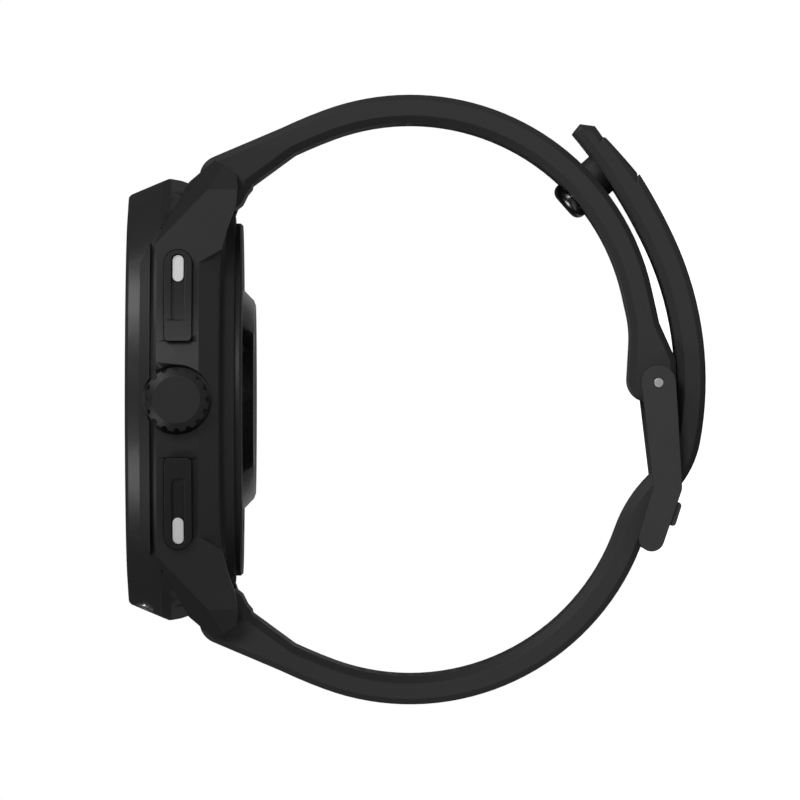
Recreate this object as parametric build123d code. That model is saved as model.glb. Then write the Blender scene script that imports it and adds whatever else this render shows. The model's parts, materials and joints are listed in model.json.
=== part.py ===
from build123d import *
import os
from math import acos, atan2, cos, degrees, hypot, radians, sin, sqrt, tan, tau

# Sports watch on its closed band. +Z leaves the display, +Y is 12 o'clock, +X is the crown side.
# The origin is the middle of the flat window that touches the wrist. Millimetres.

# ---- driving sizes of the case ----
BACK_FLAT_R = 10.4  # flat of the sensor window, on the wrist
BULGE_R = 12.2  # foot of the sensor bulge
BULGE_H = 1.4
COVER_R = 19.5  # back cover
COVER_FLANGE = 0.8
COVER_SPIGOT = 1.0
LEDGE_IN_R = 15.6  # ledge of the middle case that the back cover screws to
LEDGE_T = 2.0
CAVITY_R = 20.0
CASE_WALL_R = 23.9  # waist of the middle case at 12 and 6 o'clock
GUARD_R = 25.1  # side guards that carry the crown and buttons
GUARD_TOP = 10.7
GUARD_CHAMFER_Z = 6.0
GUARD_FOOT_Z = 3.85
GUARD_CHAMFER = 1.6
BEZEL_Z = 10.35  # joint between middle case and bezel at 12 and 6 o'clock
BEZEL_TOP_Z = 13.97
BEZEL_TOP_R = 22.7
BEZEL_SLOPE = 0.4  # radius lost per millimetre of height
BEZEL_BORE_R = 20.5
BEZEL_LIP_R = 19.6
SHOULDER_Z = 12.5  # middle case rises to here beside the crown
SHOULDER_T = 0.5
SHOULDER_H = 1.1
SHOULDER_HALF = 14.8  # half length of the raised shoulder
SHOULDER_RUN = 4.4  # length of its slope down to the bezel joint
GLASS_T = 1.15
GLASS_DOME = 0.25
GASKET_T = 0.2
PANEL_T = 0.9
PORT_R = 0.97  # small pressure port in the bezel at 6 o'clock
PORT_BORE_R = 0.55
PORT_DEPTH = 0.9
PORT_X = 4.8
PORT_PROUD = 0.12
PORT_Z = 12.2

# ---- lugs and straps ----
STRAP_W = 22.0
STRAP_T = 3.1
LUG_PLAY = 0.3  # strap to lug, each side
LUG_T = 3.4
LUG_REACH = 26.35  # furthest point of a lug from the middle
LUG_NOSE_Y = 23.05  # where the lug's side turns in towards its end
LUG_NOSE_TURN = 46.0  # degrees
SLOPE_AT = (19.3, 17.5, 10.3)  # a point of the slope that runs down over each lug
SLOPE_WAY = (17.5, 32.7, 25.0)  # square to that slope
BAR_Y = 24.4
BAR_Z = 3.63
BAR_R = 0.9
BAR_PIN_R = 0.4
BAR_PIN_DEPTH = 1.8  # how far a spring bar pin sits in its lug
BAR_TUBE_HALF = 9.5
RELEASE_TRAVEL = 1.9
STRAP_KNUCKLE_R = 2.5
STRAP_TAPER = 0.62  # part of the strap's first arc that thickens towards its bar
HEEL = [(24.4, 0.2), (23.3, 0.45), (22.7, 0.95), (21.6, 1.5), (20.95, 2.3), (21.1, 3.2), (22.1, 4.3), (24.4, 4.3)]
RING_R = 25.7  # middle line of each half of the ring
RING_Y = 6.3  # centres of the two ring arcs
RING_Z = -17.05
RING_START = 20.2  # degrees at which the ring arc leaves the lug end
SHORT_END = -77.4  # degrees at which the short strap runs straight to its knuckle
SHORT_RUN = 10.3
BUCKLE_KNUCKLE_R = 2.45
KNUCKLE_OFFSET = 0.7  # knuckle centre, to the wrist side of the pin
KNUCKLE_BACK = 0.45  # and back along the strap
OUTER_R = 2.3  # round on the tail's side of the pin
OUTER_OFFSET = 0.5
TAIL_GAP = 0.15
PIN_R = 0.5
PIN_PLAY = 0.05
TAIL_R = 35.85  # middle line of the tail over the short strap
TAIL_Y = 2.1
TAIL_Z = -12.2
TAIL_START = 259.5
TAIL_SPLIT = 287.8  # where the tail flexes when the stud is pulled out
TAIL_EASE = 295.0  # where the tail straightens
TIP_R = 60.2
TIP_PAST_STUD = 9.0
BEND_R = 9.2  # bend of the tail just past the buckle bar
BEND_HEADING = 46.0
STUD_ANGLE = -48.5
STUD_HEAD_R = 2.2
STUD_HEAD_T = 1.25
STUD_HEAD_FILLET = 1.0
STUD_NECK_R = 1.2
HOLE_PLAY = 0.15
HOLE_PITCH = 5.0
HOLES_EACH_WAY = 4
COLLAR_R = 2.3
COLLAR_GAP = 0.12
STUD_ROOT_R = 1.9
STUD_ROOT_T = 0.8
NOSE = [(26.24, -36.52), (28.99, -34.65), (30.31, -35.75), (30.09, -37.4), (28.9, -38.25)]  # (y, z)
FLARE_FROM = 4.1  # how far along its straight run the short strap starts to thicken towards its knuckle
FLARE_FILLET = 12.0
PAD_SEAT = 30.86  # flat under the pad, from the ring's centre
PAD_R = 2.85
PAD_H = 0.42

# ---- buckle ----
ARM_T = 1.9
ARM_PLAY = 0.4
ARM_PIN_R = 1.9
ARM_BEND_R = 1.55
ARM_END_R = 1.4
ARM_BEND = (-9.6, -45.4)
ARM_END = (-15.3, -43.6)
BAR_ALONG = 2.6
BAR_LENGTH = 2.7
BAR_THICK = 1.6
BAR_PROUD = 0.5

# ---- crown and buttons ----
CROWN_Z = 8.4
CROWN_R = 3.5
CROWN_FACE_R = 2.6
CROWN_PLAY = 0.3  # knob to its recess, all round
CROWN_RECESS_DEPTH = 1.1
CROWN_OUT = 2.5  # how far the knob stands out of the guard
CROWN_NOTCHES = 16
CROWN_NOTCH_R = 0.36
CROWN_TRAVEL = 0.5
STEM_R = 1.0
BUTTON_Y = 11.4
BUTTON_Z = 8.3
BUTTON_L = 10.0
BUTTON_W = 3.0
BUTTON_OUT = 0.9
BUTTON_IN = 1.6
BUTTON_TRAVEL = 0.6
BUTTON_PLAY = 0.06
CHANNEL_W = 1.5
CHANNEL_DEPTH = 0.35
INLAY_L = 2.9
INLAY_W = 1.2
INLAY_Y = 14.35
BUTTON_STEM_R = 0.8
RUN_PLAY = 0.03

WASHER_T = 0.4
NOTCH_HALF = 2.4  # notch in the main board for the crown's clip
MOTOR_X = -15.9
MOTOR_R = 3.2
CONTACT_R = 0.75

# ---- inside ----
SEAL_DEPTH = 0.4
ANTENNA_H = 0.7
BOARD_T = 0.8
BATTERY = (22.0, 28.0, 4.3)
CARRIER_T = 0.7
SCREW_RING_R = 17.4
SCREW_R = 0.5
SCREW_HEAD_R = 1.1

cover_z = BULGE_H
ledge_z = cover_z + COVER_FLANGE
floor_z = ledge_z + LEDGE_T
lug_in = STRAP_W / 2 + LUG_PLAY
lug_out = lug_in + LUG_T
lug_turn = atan2(LUG_REACH, lug_out) - acos(GUARD_R / hypot(lug_out, LUG_REACH))
ring_1 = Vector(RING_Y, RING_Z)
ring_2 = Vector(-RING_Y, RING_Z)
bar_1 = Vector(BAR_Y, BAR_Z)
bar_2 = Vector(-BAR_Y, BAR_Z)
parts = {}
crown_floor = GUARD_R - CROWN_RECESS_DEPTH
crown_back = crown_floor + CROWN_TRAVEL + 0.1
crown_face = GUARD_R + CROWN_OUT
bushing_r = STEM_R + 0.5
washer_r = STEM_R + 1.1
washer_x = crown_back + 1.0
crown_seal_x = crown_floor - 2.7
clip_x = CAVITY_R - 0.9
crown_inner = clip_x - 1.6
glass_top = BEZEL_TOP_Z + 0.18
glass_z = glass_top - GLASS_T
window_spigot_r = BULGE_R - 1.2
ring_groove_in = CAVITY_R + 0.7
ring_groove_out = ring_groove_in + 1.4
button_floor = sqrt((GUARD_R - BUTTON_IN - BUTTON_TRAVEL - 0.3) ** 2 - BUTTON_Y**2)
button_seat = button_floor + 0.54
spring_well_r = BUTTON_STEM_R + 0.65
spring_well = 1.25
seal_x = button_floor - spring_well - 0.9
seal_t = 0.6
seal_r = BUTTON_STEM_R + 0.5
bend_heading = radians(BEND_HEADING)


def cone_r(z):
    return BEZEL_TOP_R + BEZEL_SLOPE * (BEZEL_TOP_Z - z)


def turned(points):
    # solid of revolution about Z from (radius, height) points
    return revolve(Plane.XZ * make_face(Polyline(*points, close=True)), Axis.Z)


def disc(r, z0, z1, bore=0.0):
    body = Pos(0, 0, z0) * extrude(Circle(r), z1 - z0)
    return body - Pos(0, 0, z0) * extrude(Circle(bore), z1 - z0) if bore else body


def across(sketch, x0, x1):
    # side sketch in (y, z), drawn out along X
    return Pos(x0, 0, 0) * extrude(Plane.YZ * sketch, x1 - x0)


def side_poly(points):
    return make_face(Polyline(*points, close=True))


def rod(y, z, r, x0, x1, bore=0.0):
    ring = Circle(r) - Circle(bore) if bore else Circle(r)
    return across(Pos(y, z) * ring, x0, x1)


def both_sides(body):
    return body + mirror(body, Plane.XZ)


def both_ends(sketch):
    # side sketch with its twin at 6 o'clock; its own first axis is Y
    return sketch + mirror(sketch, Plane.YZ)


def four_ways(body):
    half = both_sides(body)
    return half + mirror(half, Plane.YZ)


def case_plan(grow=0.0):
    # outline of the guards and lugs seen from above: an arc that runs straight on to each lug
    leave = (GUARD_R * cos(lug_turn), GUARD_R * sin(lug_turn))
    middle = (GUARD_R * cos(lug_turn / 2), GUARD_R * sin(lug_turn / 2))
    quarter = make_face(
        [
            Line((0, 0), (GUARD_R, 0)),
            ThreePointArc((GUARD_R, 0), middle, leave),
            Polyline(leave, (lug_out, LUG_REACH), (0, LUG_REACH), (0, 0)),
        ]
    )
    half = quarter + mirror(quarter, Plane.XZ)
    plan = half + mirror(half, Plane.YZ)
    return offset(plan, grow, kind=Kind.INTERSECTION) if grow else plan


def strap_end_side(grow=0.0):
    # rounded strap end about its bar, with the heel that fills up to the case
    end = Pos(BAR_Y, BAR_Z) * Circle(STRAP_KNUCKLE_R) + side_poly(HEEL)
    return offset(end, grow) if grow else end


def on_circle(centre, r, angle):
    return centre + Vector(r * cos(radians(angle)), r * sin(radians(angle)))


def strap_root(first):
    # strap end that thickens from the strap's first arc into the round about its bar
    return strap_end_side() + hull_of((bar_1, STRAP_KNUCKLE_R), (first @ (1 - STRAP_TAPER), STRAP_T / 2))


# ---- middle case, bezel and glass ----
def shoulder_side():
    # the raised shoulder beside the crown, seen from the side, with its slopes down to the bezel joint
    run = SHOULDER_HALF + SHOULDER_RUN
    return side_poly(
        [(-run, 0), (run, 0), (run, BEZEL_Z), (SHOULDER_HALF, SHOULDER_Z), (-SHOULDER_HALF, SHOULDER_Z), (-run, BEZEL_Z)]
    )


def make_mid_case():
    core = turned(
        [
            (LEDGE_IN_R, ledge_z),
            (COVER_R + 0.7, ledge_z),
            (COVER_R + 1.5, GUARD_FOOT_Z - 0.15),
            (CASE_WALL_R - 1.3, GUARD_FOOT_Z),
            (CASE_WALL_R, GUARD_CHAMFER_Z),
            (CASE_WALL_R, GUARD_CHAMFER_Z + 1.3),
            (cone_r(BEZEL_Z - SHOULDER_H), BEZEL_Z - SHOULDER_H),
            (cone_r(BEZEL_Z), BEZEL_Z),
            (CAVITY_R, BEZEL_Z),
            (CAVITY_R, floor_z),
            (LEDGE_IN_R, floor_z),
        ]
    )
    band_foot = SHOULDER_Z - SHOULDER_H
    band = turned(
        [
            (cone_r(BEZEL_Z), BEZEL_Z),
            (cone_r(BEZEL_Z) - 0.2, BEZEL_Z - 0.2),
            (cone_r(BEZEL_Z) + 0.15, BEZEL_Z - 0.2),
            (cone_r(band_foot) + 0.15, band_foot - 0.05),
            (cone_r(band_foot) + SHOULDER_T + 0.3, band_foot),
            (cone_r(SHOULDER_Z) + SHOULDER_T, SHOULDER_Z),
            (cone_r(SHOULDER_Z), SHOULDER_Z),
        ]
    )
    band &= across(shoulder_side(), -30, 30)
    lug_side = side_poly(
        [
            (0, GUARD_FOOT_Z),
            (15.35, GUARD_FOOT_Z),
            (18.9, 2.97),
            (21.4, 2.09),
            (23.4, 1.87),
            (24.8, 1.98),
            (LUG_REACH, 4.4),
            (23.9, 7.26),
            (17.5, GUARD_TOP),
            (0, GUARD_TOP),
        ]
    )
    guards = extrude(case_plan(), GUARD_TOP) & across(both_ends(lug_side), -30, 30)
    slope = Plane(origin=SLOPE_AT, z_dir=SLOPE_WAY)
    nose_x = lug_out + (LUG_REACH - LUG_NOSE_Y) * tan(lug_turn)
    turn = radians(LUG_NOSE_TURN)
    nose = Plane(origin=(nose_x, LUG_NOSE_Y, BAR_Z), z_dir=(cos(turn), sin(turn), 0))
    for cut in (slope, nose):
        guards -= four_ways(cut * extrude(Rectangle(60, 60), 30))
    skirt = Pos(0, 0, GUARD_CHAMFER_Z) * extrude(case_plan(), -3, taper=degrees(atan2(GUARD_CHAMFER, 2.15)))
    fade = side_poly([(-18.5, 0), (18.5, 0), (15.0, GUARD_CHAMFER_Z), (-15.0, GUARD_CHAMFER_Z)])
    guards -= across(fade, -30, 30) - skirt
    guards -= disc(CASE_WALL_R - 1, 0, 20)
    guards -= turned([(0, BEZEL_Z), (cone_r(BEZEL_Z), BEZEL_Z), (cone_r(20), 20), (0, 20)])
    case = core + band + guards
    case -= disc(CAVITY_R, floor_z, BEZEL_Z)
    case -= across(both_ends(strap_end_side(0.25)), -lug_in, lug_in)
    gap = side_poly([(BAR_Y, 0), (40, 0), (40, 12), (CASE_WALL_R + 0.9, 12), (CASE_WALL_R, 6.2), (22.6, 6.0)])
    case -= across(both_ends(gap), -lug_in, lug_in)
    pin_reach = lug_in + BAR_PIN_DEPTH + 0.1
    for y in (BAR_Y, -BAR_Y):
        case -= rod(y, BAR_Z, BAR_PIN_R + 0.05, -pin_reach, pin_reach)
    case -= rod(0, CROWN_Z, CROWN_R + CROWN_PLAY, crown_floor, 40)
    case -= rod(0, CROWN_Z, bushing_r, CAVITY_R - 2, crown_floor)
    for s in (1, -1):
        pocket = across(button_side(s, BUTTON_PLAY), 0, 40)
        case -= pocket - extrude(case_plan(-BUTTON_IN - BUTTON_TRAVEL - 0.3), 40)
        case -= rod(s * BUTTON_Y, BUTTON_Z, BUTTON_STEM_R + RUN_PLAY, CAVITY_R - 5, CAVITY_R)
        case -= rod(s * BUTTON_Y, BUTTON_Z, spring_well_r, button_floor - spring_well, button_floor + 1)
        case -= rod(s * BUTTON_Y, BUTTON_Z, seal_r, seal_x, seal_x + seal_t)
    for x, y in screw_places():
        case -= Pos(x, y, ledge_z) * extrude(Circle(SCREW_R), LEDGE_T - 0.3)
    case -= disc(ring_groove_out, BEZEL_Z - SEAL_DEPTH, BEZEL_Z, ring_groove_in)
    return case


def make_bezel():
    lip_z = glass_z - GASKET_T
    ring = turned(
        [
            (BEZEL_LIP_R, lip_z - 0.5),
            (BEZEL_LIP_R, lip_z),
            (BEZEL_BORE_R, lip_z),
            (BEZEL_BORE_R, glass_top),
            (BEZEL_TOP_R - 0.25, BEZEL_TOP_Z + 0.05),
            (BEZEL_TOP_R, BEZEL_TOP_Z - 0.2),
            (cone_r(BEZEL_Z), BEZEL_Z),
            (CAVITY_R, BEZEL_Z),
            (CAVITY_R, lip_z - 0.9),
        ]
    )
    ring -= disc(ring_groove_out, BEZEL_Z, BEZEL_Z + ANTENNA_H, ring_groove_in)
    ring -= rod(0, CROWN_Z, CROWN_R + CROWN_PLAY, crown_floor, 40)
    ring -= port_plug(PORT_R, -PORT_DEPTH, 1)
    return ring - port_plug(PORT_BORE_R, -5, 1)


def port_plug(r, low, high):
    # round plug square to the bezel's cone, from low to high along the cone's normal
    place = cone_r(PORT_Z)
    y = -sqrt(place**2 - PORT_X**2)
    out = Vector(PORT_X / place, y / place, BEZEL_SLOPE)
    face = Plane(origin=(PORT_X, y, PORT_Z), x_dir=(-y, PORT_X, 0), z_dir=out)
    return face.offset(low) * extrude(Circle(r), high - low)


def make_glass():
    blank = turned([(0, glass_z), (BEZEL_BORE_R - 0.05, glass_z), (BEZEL_BORE_R - 0.05, glass_top), (0, glass_top + 1)])
    r = (BEZEL_BORE_R**2 + GLASS_DOME**2) / (2 * GLASS_DOME)
    return blank & Pos(0, 0, glass_top + GLASS_DOME - r) * Sphere(r)


# ---- back ----
def screw_places():
    return [(SCREW_RING_R * cos(radians(a)), SCREW_RING_R * sin(radians(a))) for a in (45, 135, 225, 315)]


def make_back_cover():
    cover = disc(COVER_R, cover_z, ledge_z) + disc(LEDGE_IN_R - 0.1, ledge_z, ledge_z + COVER_SPIGOT)
    cover = chamfer(cover.edges().group_by(Axis.Z)[0], 0.25)
    cover -= disc(window_spigot_r + 0.05, 0, 10)
    cover -= disc(LEDGE_IN_R + 0.6, ledge_z - 0.4, ledge_z, LEDGE_IN_R + 0.2)
    for x, y in screw_places():
        cover -= Pos(x, y, cover_z) * extrude(Circle(SCREW_R + 0.1), COVER_FLANGE)
        cover -= Pos(x, y, cover_z) * extrude(Circle(SCREW_HEAD_R + 0.1), 0.45)
    for x, y in contact_places():
        cover -= Pos(x, y, cover_z) * extrude(Circle(CONTACT_R), 5)
    return cover


def contact_places():
    return [(x * 1.9, -14.1 + 0.14 * abs(x) ** 2) for x in (-1.5, -0.5, 0.5, 1.5)]


def make_window():
    shell = turned(
        [
            (0, 0),
            (BACK_FLAT_R, 0),
            (BACK_FLAT_R + 0.55, 0.2),
            (BULGE_R, BULGE_H),
            (window_spigot_r, BULGE_H),
            (window_spigot_r, ledge_z),
            (window_spigot_r - 0.9, ledge_z),
            (window_spigot_r - 0.9, 0.9),
            (0, 0.9),
        ]
    )
    return shell


def make_screw(x, y):
    shank = Pos(x, y, cover_z + 0.45) * extrude(Circle(SCREW_R), COVER_FLANGE - 0.45 + LEDGE_T - 0.5)
    head = Pos(x, y, cover_z + 0.05) * extrude(Circle(SCREW_HEAD_R), 0.4)
    return head + shank - Pos(x, y, cover_z + 0.05) * extrude(RegularPolygon(0.55, 6), 0.22)


# ---- crown ----
def make_knob():
    face_x = crown_face
    profile = [
        (0, crown_back),
        (CROWN_R - 0.25, crown_back),
        (CROWN_R, crown_back + 0.25),
        (CROWN_R, face_x - 0.55),
        (CROWN_R - 0.2, face_x - 0.4),
        (CROWN_FACE_R, face_x),
        (0, face_x),
    ]
    knob = across_axis(profile, 0, CROWN_Z)
    for i in range(CROWN_NOTCHES):
        a = tau * i / CROWN_NOTCHES
        y, z = CROWN_R * sin(a), CROWN_Z + CROWN_R * cos(a)
        knob -= rod(y, z, CROWN_NOTCH_R, crown_back - 1, face_x + 1)
    knob -= rod(0, CROWN_Z, washer_r + 0.1, crown_back, washer_x + WASHER_T + 0.02)
    return knob - rod(0, CROWN_Z, STEM_R, crown_back, face_x - 0.8)


def across_axis(points, y, z):
    # solid of revolution about an axis along X, from (radius, x) points
    body = revolve(Plane.XZ * make_face(Polyline(*points, close=True)), Axis.Z)
    return Pos(0, y, z) * Rot(0, 90, 0) * body


def make_stem():
    stem = rod(0, CROWN_Z, STEM_R, crown_inner, crown_face - 0.8)
    stem -= rod(0, CROWN_Z, 3, crown_seal_x, crown_seal_x + 0.7, STEM_R - 0.3)
    return stem - rod(0, CROWN_Z, 3, clip_x, clip_x + 0.4, STEM_R - 0.3)


def coil(y, z, r, wire, x0, x1, turns):
    # helical spring with its axis along X
    length = x1 - x0 - 2 * wire
    path = Helix(length / turns, length, r)
    section = Plane(origin=path @ 0, z_dir=path % 0) * Circle(wire)
    return Pos(x0 + wire, y, z) * Rot(0, 90, 0) * sweep(section, path)


# ---- buttons ----
def button_side(s, grow=0.0):
    # long cap outline: full round at the outer end, small corners at the crown end
    half = BUTTON_W / 2 + grow
    inner = BUTTON_Y - BUTTON_L / 2 - grow
    outer = BUTTON_Y + BUTTON_L / 2 - BUTTON_W / 2
    end = (inner + outer) / 2
    body = Pos(end, BUTTON_Z) * Rectangle(outer - inner, 2 * half)
    body = fillet(body.vertices().group_by(Axis.X)[0], 0.5 + grow)
    body += Pos(outer, BUTTON_Z) * Circle(half)
    return body if s > 0 else mirror(body, Plane.YZ)


def make_button(s):
    shell = extrude(case_plan(BUTTON_OUT), 20) - extrude(case_plan(-BUTTON_IN), 20)
    cap = shell & across(button_side(s), 5, 40)
    channel_end = BUTTON_Y - BUTTON_L / 2 + 2.2
    length = INLAY_Y + INLAY_L / 2 + 0.15 - channel_end
    channel = Pos(s * (channel_end + length / 2), BUTTON_Z) * SlotOverall(length, CHANNEL_W)
    outer = extrude(case_plan(BUTTON_OUT + 1), 20) - extrude(case_plan(BUTTON_OUT - CHANNEL_DEPTH), 20)
    cap -= outer & across(channel, 5, 40)
    cap -= inlay_solid(s)
    return cap


def inlay_solid(s):
    shell = extrude(case_plan(BUTTON_OUT - CHANNEL_DEPTH + 0.12), 20)
    shell -= extrude(case_plan(BUTTON_OUT - CHANNEL_DEPTH - 0.5), 20)
    return shell & across(Pos(s * INLAY_Y, BUTTON_Z) * SlotOverall(INLAY_L, INLAY_W), 5, 40)


# ---- straps ----
def short_path():
    # lug end, ring arc and straight run of the short strap
    start = on_circle(ring_1, RING_R, RING_START)
    arc = CenterArc(ring_1, RING_R, RING_START, SHORT_END - RING_START)
    return [TangentArc(start, bar_1, tangent=-(arc % 0)), arc, Line(arc @ 1, (arc @ 1) + (arc % 1) * SHORT_RUN)]


def way(heading):
    # unit vector away from the ring for a strap that climbs at this heading
    return Vector(sin(heading), cos(heading))


def long_path():
    # ring arc, then an S through the buckle out to the tail, as far as the flex line
    tail = Vector(TAIL_Y, TAIL_Z)
    first = radians(270 - TAIL_START)
    tail_foot = on_circle(tail, TAIL_R, TAIL_START)
    inner = tail_foot + way(first) * BEND_R
    turn = inner - way(bend_heading) * BEND_R
    span = ring_2 - turn
    climb = (span.length**2 - RING_R**2) / (2 * (RING_R - span.dot(way(bend_heading))))
    outer = turn - way(bend_heading) * climb
    leave = ring_2 + (outer - ring_2).normalized() * RING_R
    last = atan2(ring_2.X - leave.X, ring_2.Y - leave.Y)
    start = on_circle(ring_2, RING_R, 180 - RING_START)
    round_arc = CenterArc(ring_2, RING_R, 180 - RING_START, 90 + RING_START - degrees(last))
    return [
        TangentArc(start, bar_2, tangent=-(round_arc % 0)),
        round_arc,
        ThreePointArc(leave, outer + way((last + bend_heading) / 2) * climb, turn),
        ThreePointArc(turn, inner - way((bend_heading + first) / 2) * BEND_R, tail_foot),
        CenterArc(tail, TAIL_R, TAIL_START, TAIL_SPLIT - TAIL_START),
    ]


def tip_centre():
    tail = Vector(TAIL_Y, TAIL_Z)
    return tail + (tail - on_circle(tail, TAIL_R, TAIL_EASE)) * (TIP_R / TAIL_R - 1)


def stud_reach(r):
    # how far out from the ring centre the stud's axis meets a circle about the tip's centre
    out = on_circle(Vector(0, 0), 1, STUD_ANGLE)
    away = ring_1 - tip_centre()
    half = away.dot(out)
    return -half + sqrt(half**2 - away.length**2 + r**2)


def tip_path():
    tail = Vector(TAIL_Y, TAIL_Z)
    arc = CenterArc(tail, TAIL_R, TAIL_SPLIT, TAIL_EASE - TAIL_SPLIT)
    stud = on_circle(ring_1, stud_reach(TIP_R), STUD_ANGLE) - tip_centre()
    at_stud = degrees(atan2(stud.Y, stud.X)) % 360
    return [arc, CenterArc(tip_centre(), TIP_R, TAIL_EASE, at_stud - TAIL_EASE + degrees(TIP_PAST_STUD / TIP_R))]


def stud_plane(r, angle=STUD_ANGLE):
    # plane square to a line from the ring centre, this far out along it
    start = on_circle(ring_1, r, angle)
    return Plane(origin=(0, start.X, start.Y), x_dir=(1, 0, 0), z_dir=(0, cos(radians(angle)), sin(radians(angle))))


def stud_disc(r, low, high, bore=0.0, angle=STUD_ANGLE):
    # round solid about the same line, from one radius to another
    ring = Circle(r) - Circle(bore) if bore else Circle(r)
    return stud_plane(low, angle) * extrude(ring, high - low)


def strap(path):
    return across(trace(path, STRAP_T), -STRAP_W / 2, STRAP_W / 2)


def release_slot(y):
    # slot in the strap's wrist side for the release knob and its arm
    side = 1 if y > 0 else -1
    x0, x1 = release_x - RELEASE_TRAVEL - 0.25, release_x + 1.25
    return Pos((x0 + x1) / 2, y, BAR_Z - 2) * Box(x1 - x0, 1.3, 4)


def pin_place():
    end = short_path()[2] @ 1
    return end.X, end.Y


def make_short_strap():
    path = short_path()
    run = path[2]
    inward = Vector((run % 1).Y, -(run % 1).X)
    knuckle = (run @ 1) + inward * KNUCKLE_OFFSET - (run % 1) * KNUCKLE_BACK
    flare = (run @ 0) + (run % 1) * FLARE_FROM
    outer = (run @ 1) - inward * OUTER_OFFSET
    side = trace(path, STRAP_T) + hull_of((knuckle, BUCKLE_KNUCKLE_R), (flare, STRAP_T / 2))
    side += hull_of((outer, OUTER_R), (flare, STRAP_T / 2))
    corner = flare + inward * (STRAP_T / 2)
    side = fillet(side.vertices().sort_by_distance(corner)[0], FLARE_FILLET)
    body = across(side + strap_root(path[0]), -STRAP_W / 2, STRAP_W / 2)
    under_tail = Pos(TAIL_Y, TAIL_Z) * (Circle(TAIL_R + 9) - Circle(TAIL_R - STRAP_T / 2 - TAIL_GAP))
    body -= across(under_tail & Pos(0, TAIL_Z - TAIL_R) * Rectangle(16, 30), -20, 20)
    body -= rod(BAR_Y, BAR_Z, BAR_R + 0.02, -20, 20)
    body -= rod(*pin_place(), PIN_R + PIN_PLAY, -20, 20)
    body -= release_slot(BAR_Y)
    step = degrees(HOLE_PITCH / RING_R)
    for i in range(-HOLES_EACH_WAY, HOLES_EACH_WAY + 1):
        body -= stud_disc(STUD_NECK_R + HOLE_PLAY, 20, 30, angle=STUD_ANGLE + i * step)
    return body


def make_long_strap():
    body = strap(long_path())
    body += across(mirror(strap_root(short_path()[0]), Plane.YZ), -STRAP_W / 2, STRAP_W / 2)
    return body - rod(-BAR_Y, BAR_Z, BAR_R + 0.02, -20, 20) - release_slot(-BAR_Y)


def make_tip():
    # the nose is cut to its side outline
    body = strap(tip_path()) & across(side_poly([(0, -30), *NOSE, (32, -60), (0, -60)]), -STRAP_W, STRAP_W)
    body -= stud_plane(PAD_SEAT) * extrude(Rectangle(2 * STRAP_W, 2 * PAD_R + 0.04), 3)
    return body - stud_disc(STUD_ROOT_R, 20, stud_root)


# ---- buckle ----
def make_buckle():
    pin = Vector(*pin_place())
    bend, end = Vector(*ARM_BEND), Vector(*ARM_END)
    outline = hull_of((pin, ARM_PIN_R), (bend, ARM_BEND_R)) + hull_of((bend, ARM_BEND_R), (end, ARM_END_R))
    x0 = STRAP_W / 2 + ARM_PLAY
    frame = across(outline, x0, x0 + ARM_T) + across(outline, -x0 - ARM_T, -x0)
    run = (end - bend).normalized()
    middle = bend + run * BAR_ALONG + Vector(run.Y, -run.X) * -(ARM_BEND_R + BAR_PROUD - BAR_THICK / 2)
    turn = degrees(atan2(run.Y, run.X))
    bar = Pos(middle.X, middle.Y) * Rot(0, 0, turn) * RectangleRounded(BAR_LENGTH, BAR_THICK, 0.4)
    frame += across(bar, -x0 - ARM_T + 0.35, x0 + ARM_T - 0.35)
    return frame - rod(pin.X, pin.Y, PIN_R, -30, 30)


def hull_of(*rounds):
    edges = [(Pos(c.X, c.Y) * Circle(r)).edges() for c, r in rounds]
    return make_hull([e for group in edges for e in group])


# ---- inside the case ----
def block(x0, x1, y0, y1, z0, z1):
    return Pos((x0 + x1) / 2, (y0 + y1) / 2, (z0 + z1) / 2) * Box(x1 - x0, y1 - y0, z1 - z0)


def make_carrier():
    length, width = BATTERY[1] + 2 * CARRIER_T + 0.4, BATTERY[0] + 2 * CARRIER_T + 0.4
    tray = disc(CAVITY_R - 0.3, floor_z, floor_z + CARRIER_T, 8.0)
    wall = Pos(0, 0, floor_z + CARRIER_T) * extrude(RectangleRounded(width, length, 2.2), carrier_h)
    wall -= Pos(0, 0, floor_z) * extrude(RectangleRounded(width - 2 * CARRIER_T, length - 2 * CARRIER_T, 1.5), 20)
    return tray + wall


def make_board():
    board = disc(CAVITY_R - 1.2, board_z, board_z + BOARD_T)
    board -= Pos(MOTOR_X, 0, board_z) * extrude(Circle(1.0), BOARD_T)
    board -= block(crown_inner - CROWN_TRAVEL - 0.4, CAVITY_R, -NOTCH_HALF, NOTCH_HALF, board_z, board_z + BOARD_T)
    for x, y, w, h, t in CHIPS:
        board += Pos(x, y, board_z + BOARD_T) * extrude(Rectangle(w, h), t)
    return board


def make_sensor_board():
    board = disc(window_spigot_r - 1.1, ledge_z + 0.2, ledge_z + 0.9)
    for a in range(0, 360, 90):
        board += Rot(0, 0, a) * block(3.0, 5.4, -1.0, 1.0, 1.1, ledge_z + 0.2)
    return board + block(-1.2, 1.2, -1.2, 1.2, 1.1, ledge_z + 0.2)


def make_switch(y):
    body = block(switch_x, switch_x + 0.8, y - 1.2, y + 1.2, BUTTON_Z - 1.2, BUTTON_Z + 1.2)
    return body + rod(y, BUTTON_Z, 0.6, switch_x + 0.8, switch_x + 1.3)


def make_bar(y):
    # spring bar tube, open at the release end, with a fixed pin at the other
    tube = rod(y, BAR_Z, BAR_R, -BAR_TUBE_HALF, BAR_TUBE_HALF)
    tube -= rod(y, BAR_Z, bar_bore, bar_floor, BAR_TUBE_HALF)
    tube += rod(y, BAR_Z, BAR_PIN_R, -lug_in - BAR_PIN_DEPTH, -BAR_TUBE_HALF)
    return tube - release_slot(y)


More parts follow.
